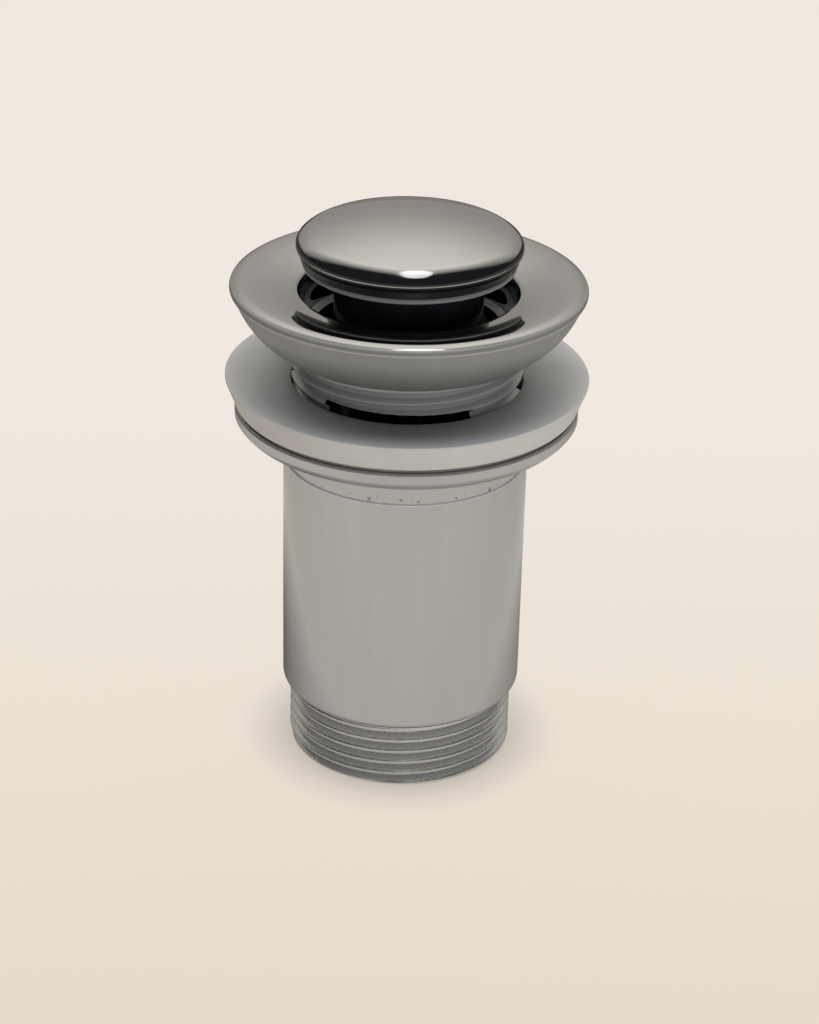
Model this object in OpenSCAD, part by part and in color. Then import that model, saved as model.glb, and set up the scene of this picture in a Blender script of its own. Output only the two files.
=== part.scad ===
// Push-open basin waste: a bowl-shaped flange with a slotted, threaded shank, a tail that screws
// onto it from below with a gasket between them, and a domed plug on a push-push latch inside.
// Millimetres, +Z up. The origin is the centre of the outlet end that the waste stands on.
// Threads are plain cylinders at their outside diameter.

/* [Tail] */
// Outside diameter of the outlet thread, G 1 1/4
tail_thread_d = 41.9; // [38:0.1:44]
// Length of the outlet thread
tail_thread_len = 12.5; // [9:0.5:20]
// Wall from the outside of the outlet thread to the outlet bore
tail_thread_wall = 2.3; // [1.8:0.1:4]
// Length of the smooth tube above the outlet thread
tube_len = 46.5; // [40:0.5:80]
// Wall of the smooth tube
tube_wall = 1.05; // [0.9:0.05:2.5]
// Radius of the turned shoulder at the foot of the tube
tube_shoulder = 1.5; // [0.8:0.1:2.5]

/* [Clamp collar] */
// Outside diameter of the collar
collar_d = 62.4; // [56:0.2:70]
// Thickness of the collar
collar_t = 4.3; // [3.6:0.1:8]
// Height of the bare neck between the tube and the collar
neck_len = 5.9; // [3:0.1:10]
// Depth of the spigot that is brazed into the mouth of the tube
spigot_len = 2; // [1:0.1:4]
// Wall of that spigot
spigot_wall = 0.6; // [0.4:0.05:0.8]

/* [Gasket] */
// Diameter of the gasket at its upper edge
gasket_d = 65.8; // [60:0.2:74]
// Thickness of the gasket at its rim
gasket_t = 5; // [3:0.1:9]
// Taper of the gasket's side, on the radius
gasket_taper = 1.7; // [0:0.1:3]
// Depth that the gasket's upper face is dished towards the shank
gasket_dish = 0.9; // [0:0.1:1.5]
// Thickness of the slip washer under the gasket
slip_washer_t = 0.7; // [0.4:0.1:1.5]
// Distance that the slip washer's edge stays inside the collar's
slip_washer_inset = 0.6; // [0.2:0.1:2]

/* [Flange and shank] */
// Free height on the shank from the gasket to the flange, as stored
clamp_gap = 5.4; // [5:0.1:20]
// Outside diameter of the shank thread, G 1 1/4
shank_d = 41.9; // [40:0.1:48]
// Wall of the shank, from the outside of its thread to its bore
shank_wall = 4.3; // [3.4:0.1:5]
// Length of the shank under the flange
shank_len = 39; // [34:0.5:60]
// Outside diameter of the flange
flange_d = 64; // [58:0.5:76]
// Height of the bowl under the flange's rim
bowl_h = 10.5; // [10:0.1:16]
// How far the bowl's underside swells out from a straight cone
bowl_swell = 1.8; // [0.5:0.1:2.2]
// Height of the rim's edge
rim_h = 2.1; // [1.4:0.1:3]
// Small step between the rim's edge and the bowl
rim_step = 0.6; // [0.2:0.1:1.2]
// Fall of the upper face from the rim to the mouth
dish_drop = 1.5; // [1:0.1:3]
// Depth of the throat, from the mouth to its shelf
throat_depth = 7; // [6:0.1:9]
// Flare of the throat on the radius, from its shelf to the mouth
throat_flare = 1.1; // [0.8:0.1:2]
// Width of the shelf at the foot of the throat
shelf_w = 1.85; // [1.2:0.05:2.4]
// Number of overflow slots
slot_count = 3; // [2:1:3]
// Opening angle of each slot
slot_angle = 77; // [50:1:85]
// Height of each slot
slot_h = 13; // [8:0.5:18]
// Distance from the bowl down to the slots
slot_drop = 4.7; // [4:0.1:8]
// Turn of the first slot from the front
slot_turn = -4.4; // [-30:0.1:30]
// Height of the spider that carries the latch
spider_h = 5; // [3:0.1:8]
// Width of each spider arm
spider_arm_w = 5; // [3:0.1:8]

/* [Plug] */
// Stroke of the plug, from open to fully pressed
plug_travel = 6.5; // [5:0.5:9]
// Height of the pressed cap over the mouth
cap_rest = 0.5; // [0.3:0.1:1]
// How far the cap's edge stands out over the mouth, on the radius
cap_overhang = 0.65; // [0.4:0.05:0.9]
// Rounding under the cap's edge
cap_foot_round = 0.7; // [0.4:0.05:0.9]
// Height of the straight part of the cap's edge
cap_edge_h = 0.2; // [0.1:0.05:1]
// Rounding over the cap's edge
cap_round = 1.9; // [1.2:0.05:2.2]
// Radius of the soft shoulder between that rounding and the dome
cap_shoulder = 6; // [4:0.5:9]
// Slope where the shoulder meets the rounding, in degrees
shoulder_slope = 43; // [35:1:50]
// Slope where the dome meets the shoulder, in degrees
dome_slope = 18.5; // [14:0.5:24]
// Wall of the cap over its hollow
cap_wall = 2.4; // [1.6:0.1:3]
// Thickness of the seal
seal_t = 1.9; // [1.6:0.1:3]
// Width of the seal at its foot, on the radius
seal_w = 3.9; // [2.5:0.1:5]
// Thickness of the plate that holds the seal
retainer_t = 1; // [0.8:0.1:2]
// Radial waterway between the guide skirt and the shank bore
waterway = 3.25; // [2.5:0.05:3.8]
// Length of the guide skirt
skirt_len = 9.3; // [8:0.1:12]
// Wall of the guide skirt
skirt_wall = 1.6; // [1.2:0.1:1.8]
// Thickness of the skirt's web
skirt_web = 2; // [1.4:0.1:3]
// Diameter of the stud that joins the cap to the latch
stud_d = 5; // [4:0.1:5.4]
// Length of the stud inside the plunger
stud_grip = 6.5; // [5:0.1:8]
// Thickness of the lock washer under the web
lock_washer_t = 0.6; // [0.4:0.1:1]
// Width of the lock washer, on the radius
lock_washer_w = 2.9; // [2:0.1:3.4]
// Wall of the cap's boss round the stud
cap_boss_w = 2.1; // [1.4:0.1:3]

/* [Latch] */
// Outside diameter of the latch barrel
barrel_d = 18.4; // [17.8:0.1:19]
// Wall of the barrel round its guide
barrel_wall = 1.6; // [1.2:0.1:1.8]
// Thickness of the barrel's floor
barrel_floor_t = 2; // [1.2:0.1:4]
// Width of the barrel's shoulder, on the radius
shoulder_w = 2; // [1.2:0.1:2.2]
// Thickness of the shoulder
shoulder_t = 1.6; // [1:0.1:1.8]
// Thickness of the barrel's flat gasket
barrel_gasket_t = 0.8; // [0.5:0.1:1]
// Width across the flats of the nut under the spider
nut_af = 22; // [21:0.1:25]
// Thickness of that nut
nut_t = 4.2; // [3:0.1:6]
// Thickness of the cover's lip on the barrel
cover_t = 2; // [1.8:0.1:3]
// Depth of the cover inside the barrel
cover_plug_t = 1.5; // [1:0.1:3]
// Diameter of the plunger's stem
stem_d = 8; // [7.6:0.1:8.2]
// Height of the plunger's splined head
head_h = 4; // [3.5:0.1:5]
// Height of the latch splines over their core, on the radius
spline_h = 1.5; // [1:0.1:1.8]
// Height of the index rotor over its spring plate
rotor_h = 7; // [6:0.1:9]
// Height of the rotor's spring plate
rotor_plate_t = 1.6; // [1:0.1:2]
// Wire of the return spring
spring_wire = 1; // [0.8:0.05:1.1]
// Turns of the return spring
spring_turns = 6; // [5:1:8]

/* [Hidden] */
$fn = 96;
eps = 0.01;

// Clearances: threads, guides that slide, pieces that press together, and ends of travel
thread_clear = 0.1;
slide_clear = 0.08;
press_clear = 0.03;
stop_clear = 0.1;
end_clear = 0.35;
seal_clear = 0.2;
retainer_clear = 0.27;
gasket_clear = 0.15;
shank_run_clear = 0.35;

// Radii of the tail, collar and shank
shank_r = shank_d / 2;
bore_r = shank_r - shank_wall;
collar_bore_r = shank_r + thread_clear;
tube_bore_r = shank_r + shank_run_clear;
tube_r = tube_bore_r + tube_wall;
tail_r = tail_thread_d / 2;
outlet_r = tail_r - tail_thread_wall;
spigot_r = collar_bore_r + spigot_wall;
neck_inset = 0.3;
neck_r = tube_r - neck_inset;
collar_r = collar_d / 2;
gasket_r = gasket_d / 2;
gasket_bore_r = shank_r + gasket_clear;

// Heights of the tail, collar, gasket and flange, from the outlet end up
tube_foot_z = tail_thread_len;
tube_top_z = tube_foot_z + tube_len;
collar_foot_z = tube_top_z + neck_len;
collar_top_z = collar_foot_z + collar_t;
washer_top_z = collar_top_z + slip_washer_t;
gasket_top_z = washer_top_z + gasket_t;
bowl_foot_z = gasket_top_z + clamp_gap;
rim_foot_z = bowl_foot_z + bowl_h;
rim_top_z = rim_foot_z + rim_h;
mouth_z = rim_top_z - dish_drop;
shelf_z = mouth_z - throat_depth;
shank_foot_z = bowl_foot_z - shank_len;
slot_top_z = bowl_foot_z - slot_drop;

// Flange, throat and roundings
flange_r = flange_d / 2;
rim_round = rim_h / 2;
mouth_round = 1.2;
shelf_r = bore_r + shelf_w;
mouth_r = shelf_r + throat_flare;
throat_top_z = mouth_z - mouth_round;
thread_lead = 0.9;
bore_lead = 0.5;

// Radius of the throat's wall at a height
function throat_r(z) = shelf_r + throat_flare * (z - shelf_z) / (throat_top_z - shelf_z);

// Plug, open: the heights of its pieces and their radii. Pressed, the seal clears the throat
// and the cap stops over the mouth
retainer_foot_z = mouth_z + cap_rest - seal_t - retainer_t + plug_travel;
seal_foot_z = retainer_foot_z + retainer_t;
cap_foot_z = seal_foot_z + seal_t;
web_foot_z = retainer_foot_z - skirt_web;
skirt_foot_z = retainer_foot_z - skirt_len;
plunger_top_z = web_foot_z - lock_washer_t;
cap_r = mouth_r + cap_overhang;
seal_foot_r = throat_r(seal_foot_z - plug_travel) - seal_clear;
seal_top_r = throat_r(cap_foot_z - plug_travel) - seal_clear;
seal_bore_r = seal_foot_r - seal_w;
retainer_r = throat_r(retainer_foot_z - plug_travel) - retainer_clear;
skirt_r = bore_r - waterway;
skirt_bore_r = skirt_r - skirt_wall;
stud_r = stud_d / 2;
stud_hole_r = stud_r + stop_clear;
lock_washer_r = stud_hole_r + lock_washer_w;

// Edge, shoulder and dome of the cap, each tangent to the next
cap_edge_z = cap_foot_z + cap_foot_round + cap_edge_h;
cap_shoulder_c_r = cap_r - cap_round + (cap_round - cap_shoulder) * sin(shoulder_slope);
cap_shoulder_c_z = cap_edge_z + (cap_round - cap_shoulder) * cos(shoulder_slope);
dome_edge_r = cap_shoulder_c_r + cap_shoulder * sin(dome_slope);
dome_edge_z = cap_shoulder_c_z + cap_shoulder * cos(dome_slope);
dome_r = dome_edge_r / sin(dome_slope);
dome_centre_z = dome_edge_z - dome_r * cos(dome_slope);
cap_boss_r = stud_r + cap_boss_w;
cap_hollow_r = seal_bore_r - press_clear - cap_wall;
cap_hollow_z = dome_centre_z + sqrt(pow(dome_r, 2) - pow(cap_hollow_r, 2)) - cap_wall;
stud_top_z = cap_hollow_z - stop_clear;

// Spider and latch barrel under the plug
spider_top_z = skirt_foot_z - plug_travel - end_clear - barrel_gasket_t / 2;
barrel_r = barrel_d / 2;
guide_bore_r = barrel_r - barrel_wall;
barrel_step = 0.7;
spring_bore_r = guide_bore_r - barrel_step;
spider_bore_r = barrel_r + thread_clear;
spider_ring_w = 2.9;
shoulder_foot_z = spider_top_z + barrel_gasket_t;
shoulder_r = barrel_r + shoulder_w;
cover_top_z = plunger_top_z - plug_travel - end_clear;
barrel_top_z = cover_top_z - cover_t;
guide_top_z = barrel_top_z - cover_plug_t;
wiper_wire = 1.4;

// Latch works, open
stem_r = stem_d / 2;
head_top_z = guide_top_z - stop_clear;
head_foot_z = head_top_z - head_h;
tooth_gap = 0.2;
rotor_top_z = head_foot_z - tooth_gap;
rotor_foot_z = rotor_top_z - rotor_h;
guide_foot_z = rotor_foot_z + rotor_plate_t + 1.1;
guide_ring_w = 1.15;
spline_clear = 0.25;
guide_ring_r = guide_bore_r - guide_ring_w;
spline_r = guide_ring_r - spline_clear;
core_r = spline_r - spline_h;
guide_rib_r = core_r + spline_clear;
pin_r = 1.9;
pin_reach = 0.75 * rotor_h;
latch_steps = 4;
groove_angle = 50;
spline_angle = 16;
lug_angle = 18;
rib_slant = 30;
tooth_h = 0.8;
crown_hub_w = 0.7;
spline_relief = 0.3;
spring_solid = spring_wire * (spring_turns + 1.5);
spring_len = plug_travel + spring_solid;
spring_washer_t = 0.5;
spring_foot_z = rotor_foot_z - spring_len;
floor_z = spring_foot_z - spring_washer_t;
spring_r = spring_bore_r - spring_wire / 2 - 0.6;
drain_r = 1.5;

// Points of an arc about a centre, in the plane of a turned profile
function arc_points(c, r, from, to, steps) = [
    for (i = [0:steps])
        let (a = from + (to - from) * i / steps)
        [c[0] + r * cos(a), c[1] + r * sin(a)]
];

// Points between p and q on a curve that swells to the right of the line by up to swell
function swelling_points(p, q, swell, steps) =
    let (d = q - p, n = [d[1], -d[0]] / norm(d))
    [for (i = [1:steps - 1]) let (t = i / steps) p + d * t + n * swell * 4 * t * (1 - t)];

// A piece turned about the axis from its half profile
module turned(points) {
    rotate_extrude() polygon(points);
}

// A plain ring
module ring(outer, inner, z, h) {
    translate([0, 0, z]) difference() {
        cylinder(r = outer, h = h);
        translate([0, 0, -eps]) cylinder(r = inner, h = h + 2 * eps);
    }
}

// A sector of a ring, centred on the front and turned by an angle
module sector(outer, inner, z, h, width, turn) {
    translate([0, 0, z]) rotate(turn - 90 - width / 2) rotate_extrude(angle = width)
        translate([inner, 0]) square([outer - inner, h]);
}

// Smooth tail tube, shouldered at its foot, with the outlet thread below
module tail_tube() {
    floor_taper = (tube_bore_r - outlet_r) * 1.5;
    bore_foot_z = tube_foot_z + 1.2;
    mouth_bevel = 0.25;
    color("silver") turned(concat(
        [
            [outlet_r + bore_lead, 0],
            [tail_r - thread_lead, 0],
            [tail_r, thread_lead],
            [tail_r, tube_foot_z]
        ],
        arc_points([tube_r - tube_shoulder, tube_foot_z + tube_shoulder], tube_shoulder, -60, 0, 5),
        [
            [tube_r, tube_top_z - mouth_bevel],
            [tube_r - mouth_bevel, tube_top_z],
            [spigot_r + press_clear, tube_top_z],
            [spigot_r + press_clear, tube_top_z - spigot_len],
            [tube_bore_r, tube_top_z - spigot_len],
            [tube_bore_r, bore_foot_z + floor_taper],
            [outlet_r, bore_foot_z],
            [outlet_r, bore_lead]
        ]
    ));
}

// Flanged collar with a threaded bore and a neck that is brazed into the tail tube
module clamp_collar() {
    edge_h = collar_t * 0.45;
    belly_w = collar_t * 1.05;
    root = 0.8;
    top_round = 0.4;
    color("silver") turned(concat(
        [
            [collar_bore_r, tube_top_z - spigot_len],
            [spigot_r, tube_top_z - spigot_len],
            [spigot_r, tube_top_z],
            [neck_r, tube_top_z]
        ],
        arc_points([neck_r + root, collar_foot_z - root], root, 180, 90, 4),
        [[collar_r - belly_w, collar_foot_z]],
        swelling_points(
            [collar_r - belly_w, collar_foot_z], [collar_r, collar_top_z - edge_h], 0.8, 6),
        [[collar_r, collar_top_z - edge_h]],
        arc_points([collar_r - top_round, collar_top_z - top_round], top_round, 0, 90, 4),
        [[collar_bore_r, collar_top_z]]
    ));
}

// Thin washer that lets the collar turn under the gasket
module slip_washer() {
    color("dimgray")
        ring(collar_r - slip_washer_inset, shank_r + gasket_clear, collar_top_z, slip_washer_t);
}

// Soft gasket with a tapered side and a dished face, pressed up against the basin
module basin_gasket() {
    edge = 0.4;
    color("gainsboro") turned(concat(
        [
            [gasket_bore_r, washer_top_z],
            [gasket_r - gasket_taper - edge / 2, washer_top_z],
            [gasket_r - gasket_taper, washer_top_z + edge / 2]
        ],
        arc_points([gasket_r - edge, gasket_top_z - edge], edge, 0, 90, 5),
        [[gasket_bore_r, gasket_top_z - gasket_dish]]
    ));
}

// Bowl flange, throat and slotted shank, with the spider that carries the latch
module flange_body() {
    bowl_foot = [shank_r, bowl_foot_z];
    bowl_top = [flange_r - rim_step, rim_foot_z];
    spider_foot_z = spider_top_z - spider_h;
    arm_len = bore_r + shank_wall / 2 - spider_bore_r - spider_ring_w / 2;
    color("silver") union() {
        difference() {
            turned(concat(
                [
                    [bore_r + bore_lead, shank_foot_z],
                    [shank_r - thread_lead, shank_foot_z],
                    [shank_r, shank_foot_z + thread_lead],
                    bowl_foot
                ],
                swelling_points(bowl_foot, bowl_top, bowl_swell, 12),
                [bowl_top],
                arc_points([flange_r - rim_round, rim_foot_z + rim_round], rim_round, -60, 100, 10),
                arc_points([mouth_r + mouth_round, throat_top_z], mouth_round, 90, 180, 4),
                [
                    [shelf_r, shelf_z],
                    [bore_r, shelf_z],
                    [bore_r, shank_foot_z + bore_lead]
                ]
            ));
            for (i = [0:slot_count - 1])
                sector(shank_r + 1, bore_r - 1, slot_top_z - slot_h, slot_h, slot_angle,
                    slot_turn + i * 360 / slot_count);
        }
        ring(spider_bore_r + spider_ring_w, spider_bore_r, spider_foot_z, spider_h);
        for (i = [0:slot_count - 1])
            rotate(slot_turn - 90 + (i + 0.5) * 360 / slot_count)
                translate([spider_bore_r + spider_ring_w / 2, -spider_arm_w / 2, spider_foot_z])
                    cube([arm_len, spider_arm_w, spider_h]);
    }
}

// Latch barrel, hung in the spider by its shoulder
module latch_barrel() {
    color("black") difference() {
        union() {
            translate([0, 0, floor_z - barrel_floor_t])
                cylinder(r = barrel_r, h = barrel_top_z - floor_z + barrel_floor_t);
            translate([0, 0, shoulder_foot_z]) cylinder(r = shoulder_r, h = shoulder_t);
        }
        translate([0, 0, floor_z]) cylinder(r = spring_bore_r, h = barrel_top_z - floor_z + eps);
        translate([0, 0, guide_foot_z])
            cylinder(r = guide_bore_r, h = barrel_top_z - guide_foot_z + eps);
        translate([0, 0, floor_z - barrel_floor_t - eps])
            cylinder(r = drain_r, h = barrel_floor_t + 2 * eps);
    }
}

// Flat gasket between the barrel's shoulder and the spider
module barrel_gasket() {
    color("dimgray") ring(shoulder_r, spider_bore_r, spider_top_z, barrel_gasket_t);
}

// Hexagon nut that pulls the barrel down on the spider
module barrel_nut() {
    nut_top_z = spider_top_z - spider_h;
    color("goldenrod") translate([0, 0, nut_top_z - nut_t]) difference() {
        cylinder(r = nut_af / 2 / cos(30), h = nut_t, $fn = 6);
        translate([0, 0, -eps]) cylinder(r = spider_bore_r, h = nut_t + 2 * eps);
    }
}

// Cover pushed into the barrel's mouth, with a groove for the stem's wiper
module barrel_cover() {
    groove_r = stem_r + slide_clear + wiper_wire;
    color("black") turned([
        [stem_r + slide_clear, guide_top_z],
        [guide_bore_r - press_clear, guide_top_z],
        [guide_bore_r - press_clear, barrel_top_z],
        [barrel_r, barrel_top_z],
        [barrel_r, cover_top_z],
        [groove_r, cover_top_z],
        [groove_r, cover_top_z - wiper_wire],
        [stem_r + slide_clear, cover_top_z - wiper_wire]
    ]);
}

// Rubber ring that wipes the plunger's stem
module stem_wiper() {
    wire_r = wiper_wire / 2 - press_clear;
    color("black") translate([0, 0, cover_top_z - wiper_wire / 2]) rotate_extrude()
        translate([stem_r + slide_clear + wiper_wire / 2, 0]) circle(r = wire_r, $fn = 32);
}

// Fixed guide inside the barrel: a ring with ribs on slanted feet, and grooves between them
module cam_guide() {
    rib_angle = 360 / latch_steps - groove_angle;
    guide_h = guide_top_z - guide_foot_z;
    rib_root = 0.4;
    rib_w = guide_ring_r + rib_root - guide_rib_r;
    color("ivory") union() {
        ring(guide_bore_r - press_clear, guide_ring_r, guide_foot_z, guide_h);
        for (i = [0:latch_steps - 1])
            difference() {
                sector(guide_ring_r + rib_root, guide_rib_r, guide_foot_z, guide_h, rib_angle,
                    (i + 0.5) * 360 / latch_steps);
                rotate((i + 0.5) * 360 / latch_steps - 90)
                    translate([guide_rib_r - rib_w, 0, guide_foot_z]) rotate([rib_slant, 0, 0])
                        translate([0, -guide_h, -guide_h]) cube([3 * rib_w, 2 * guide_h, guide_h]);
            }
    }
}

// Steel washer under the spring
module spring_washer() {
    color("gray") ring(spring_r + spring_wire / 2, drain_r + 1, floor_z, spring_washer_t);
}

// Compression spring with closed ends, swept round the axis
module return_spring() {
    sides = 8;
    steps = 20;
    rings = steps * spring_turns;
    rise = spring_len - spring_wire;
    end_share = 1 / spring_turns;
    // Share of the rise at a share of the winding: an end turn rises by one wire, the rest evenly
    function climb(t) =
        let (end_rise = spring_wire / rise)
        t < end_share ? end_rise * t / end_share
            : t > 1 - end_share ? 1 - end_rise * (1 - t) / end_share
            : end_rise + (1 - 2 * end_rise) * (t - end_share) / (1 - 2 * end_share);
    points = [
        for (i = [0:rings], j = [0:sides - 1])
            let (turn = 360 * i / steps, a = 360 * j / sides,
                r = spring_r + spring_wire / 2 * cos(a),
                z = spring_foot_z + spring_wire / 2 * (1 + sin(a)) + rise * climb(i / rings))
            [r * cos(turn), r * sin(turn), z]
    ];
    sides_faces = [
        for (i = [0:rings - 1], j = [0:sides - 1])
            let (a = i * sides + j, b = i * sides + (j + 1) % sides)
            [a, b, b + sides, a + sides]
    ];
    first_end = [for (j = [sides - 1:-1:0]) j];
    last_end = [for (j = [0:sides - 1]) rings * sides + j];
    color("gray") polyhedron(points, concat(sides_faces, [first_end], [last_end]), convexity = 10);
}

// V notches cut across the end of a latch piece, as the teeth of a crown round its hub
module crown_notches(z) {
    side = tooth_h * sqrt(2);
    for (i = [0:2 * latch_steps - 1])
        rotate((i + 0.5) * 180 / latch_steps) translate([pin_r + crown_hub_w, 0, z]) rotate([45, 0, 0])
            translate([0, -side / 2, -side / 2]) cube([core_r, side, side]);
}

// Rotor that turns one step at each press: lugs, crown and spring plate
module index_rotor() {
    lug_foot_z = guide_foot_z + 0.4;
    color("ivory") difference() {
        union() {
            translate([0, 0, rotor_foot_z]) cylinder(r = core_r, h = rotor_h);
            translate([0, 0, rotor_foot_z]) cylinder(r = spline_r - 0.2, h = rotor_plate_t);
            for (i = [0:latch_steps - 1])
                sector(spline_r, core_r - 1, lug_foot_z, rotor_top_z - spline_relief - lug_foot_z,
                    lug_angle, i * 360 / latch_steps);
        }
        translate([0, 0, rotor_foot_z - eps])
            cylinder(r = pin_r + slide_clear, h = rotor_h + 2 * eps);
        crown_notches(rotor_top_z);
    }
}

// Plunger: splined head with a crown and pilot pin, and the stem that carries the plug
module plunger() {
    color("ivory") difference() {
        union() {
            difference() {
                union() {
                    translate([0, 0, head_foot_z]) cylinder(r = core_r, h = head_h);
                    for (i = [0:latch_steps - 1])
                        sector(spline_r, core_r - 1, head_foot_z + spline_relief,
                            head_h - 2 * spline_relief, spline_angle, i * 360 / latch_steps);
                }
                crown_notches(head_foot_z);
            }
            translate([0, 0, head_top_z - head_h / 2])
                cylinder(r = stem_r, h = plunger_top_z - head_top_z + head_h / 2);
            translate([0, 0, head_foot_z - pin_reach]) cylinder(r = pin_r, h = pin_reach + head_h);
        }
        translate([0, 0, plunger_top_z - stud_grip])
            cylinder(r = stud_r + press_clear, h = stud_grip + eps);
    }
}

// Lock washer between the plunger and the skirt's web
module lock_washer() {
    color("gray") ring(lock_washer_r, stud_hole_r, plunger_top_z, lock_washer_t);
}

// Guide skirt under the plug, which slides down over the barrel
module guide_skirt() {
    color("black") turned([
        [stud_hole_r, web_foot_z],
        [skirt_bore_r, web_foot_z],
        [skirt_bore_r, skirt_foot_z],
        [skirt_r, skirt_foot_z],
        [skirt_r, retainer_foot_z],
        [stud_hole_r, retainer_foot_z]
    ]);
}

// Plate with a rounded lip that holds the seal against the cap
module seal_retainer() {
    lip = retainer_t / 2;
    color("silver") turned(concat(
        [[stud_hole_r, retainer_foot_z]],
        arc_points([retainer_r - lip, retainer_foot_z + lip], lip, -90, 90, 8),
        [[stud_hole_r, seal_foot_z]]
    ));
}

// Rubber seal, tapered as the throat is
module plug_seal() {
    groove_d = 0.35;
    color("black") turned([
        [seal_bore_r, seal_foot_z],
        [seal_foot_r - groove_d, seal_foot_z],
        [seal_foot_r, seal_foot_z + groove_d],
        [seal_top_r, cap_foot_z - groove_d],
        [seal_top_r - groove_d, cap_foot_z],
        [seal_bore_r, cap_foot_z]
    ]);
}

// Domed cap: soft shoulder, rounded edge, spigot for the seal, and a boss for the stud in its hollow
module plug_cap() {
    spigot_r = seal_bore_r - press_clear;
    color("silver") difference() {
        turned(concat(
            [[0, seal_foot_z], [spigot_r, seal_foot_z], [spigot_r, cap_foot_z]],
            arc_points([cap_r - cap_foot_round, cap_foot_z + cap_foot_round], cap_foot_round, -90, 0, 5),
            arc_points([cap_r - cap_round, cap_edge_z], cap_round, 0, 90 - shoulder_slope, 6),
            arc_points([cap_shoulder_c_r, cap_shoulder_c_z], cap_shoulder,
                90 - shoulder_slope + (shoulder_slope - dome_slope) / 5, 90 - dome_slope, 4),
            [for (i = [1:14]) let (a = dome_slope * (1 - i / 14))
                [dome_r * sin(a), dome_centre_z + dome_r * cos(a)]]
        ));
        ring(cap_hollow_r, cap_boss_r, seal_foot_z - eps, cap_hollow_z - seal_foot_z + eps);
        translate([0, 0, seal_foot_z - eps])
            cylinder(r = stud_r + press_clear, h = stud_top_z - seal_foot_z + stop_clear + eps);
    }
}

// Stud that joins the cap, the plate, the skirt and the plunger
module plug_stud() {
    stud_foot_z = plunger_top_z - stud_grip + stop_clear;
    color("goldenrod") translate([0, 0, stud_foot_z])
        cylinder(r = stud_r, h = stud_top_z - stud_foot_z);
}

tail_tube();
clamp_collar();
slip_washer();
basin_gasket();
flange_body();
latch_barrel();
barrel_gasket();
barrel_nut();
barrel_cover();
stem_wiper();
cam_guide();
spring_washer();
return_spring();
index_rotor();
plunger();
lock_washer();
guide_skirt();
seal_retainer();
plug_seal();
plug_cap();
plug_stud();
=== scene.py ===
import math
import bmesh
import bpy
from mathutils import Matrix, Vector


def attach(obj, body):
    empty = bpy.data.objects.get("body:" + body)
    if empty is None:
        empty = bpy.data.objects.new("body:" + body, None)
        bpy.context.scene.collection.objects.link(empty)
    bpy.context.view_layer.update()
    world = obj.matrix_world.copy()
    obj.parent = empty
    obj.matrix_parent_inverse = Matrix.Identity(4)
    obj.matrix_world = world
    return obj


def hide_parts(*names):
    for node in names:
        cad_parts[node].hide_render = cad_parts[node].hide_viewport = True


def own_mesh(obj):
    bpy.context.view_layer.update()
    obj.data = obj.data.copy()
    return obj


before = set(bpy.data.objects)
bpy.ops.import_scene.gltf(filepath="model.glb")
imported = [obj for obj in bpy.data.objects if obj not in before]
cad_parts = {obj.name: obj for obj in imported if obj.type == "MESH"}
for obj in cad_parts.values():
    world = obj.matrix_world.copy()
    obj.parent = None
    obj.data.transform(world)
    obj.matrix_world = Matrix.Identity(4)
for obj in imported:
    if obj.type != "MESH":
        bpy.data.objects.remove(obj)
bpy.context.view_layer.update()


# Tail tube: drawn brass tube, polished and chrome plated, with the outlet thread cut at its foot.
# It stands on the outlet end, and its shoulder is turned in a small round over the thread.
# Profiles are half sections in millimetres, and the thread is one helical sheet welded to them.
TURN = 240


def rounded(corners, steps=6):
    """A half section whose corners (r, z, radius) are rounded, with a support point beside each rounding."""
    line = []
    for i, (r, z, radius) in enumerate(corners):
        here = Vector((r, z))
        if radius == 0:
            line.append((r, z))
            continue
        before = Vector(corners[i - 1][:2]) - here
        after = Vector(corners[(i + 1) % len(corners)][:2]) - here
        a, b = before.normalized(), after.normalized()
        bend = a.angle(b)
        reach = min(radius / math.tan(bend / 2), before.length * 0.45, after.length * 0.45)
        centre = here + (a + b).normalized() * reach / math.cos(bend / 2)
        first, last = here + a * reach - centre, here + b * reach - centre
        sweep = math.pi - bend
        line.append(tuple(centre + first + a * min(0.08, (before.length - reach) * 0.2)))
        for k in range(steps + 1):
            t = k / steps
            arm = first * math.sin((1 - t) * sweep) + last * math.sin(t * sweep)
            line.append(tuple(centre + arm / math.sin(sweep)))
        line.append(tuple(centre + last + b * min(0.08, (after.length - reach) * 0.2)))
    return line


def bend_points(centre, radius, start, end, steps):
    """Points of a bend about a centre, with its angles in degrees."""
    turns = [math.radians(start + (end - start) * k / steps) for k in range(steps + 1)]
    return [(centre[0] + radius * math.cos(t), centre[1] + radius * math.sin(t)) for t in turns]


def turned_mesh(name, line, closed=True):
    """A mesh turned about the axis from a half section that runs counter-clockwise."""
    work = bmesh.new()
    rings = []
    for r, z in line:
        if r < 1e-6:
            rings.append([work.verts.new((0, 0, z / 1000))])
        else:
            rings.append([
                work.verts.new((r / 1000 * math.cos(a), r / 1000 * math.sin(a), z / 1000))
                for a in (2 * math.pi * k / TURN for k in range(TURN))
            ])
    for low, high in zip(rings, rings[1:] + (rings[:1] if closed else [])):
        for k in range(TURN):
            n = (k + 1) % TURN
            loop = [low[k % len(low)], low[n % len(low)], high[n % len(high)], high[k % len(high)]]
            loop = [v for i, v in enumerate(loop) if v not in loop[:i]]
            if len(loop) > 2:
                work.faces.new(loop)
    mesh = bpy.data.meshes.new(name)
    work.to_mesh(mesh)
    work.free()
    return mesh


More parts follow.
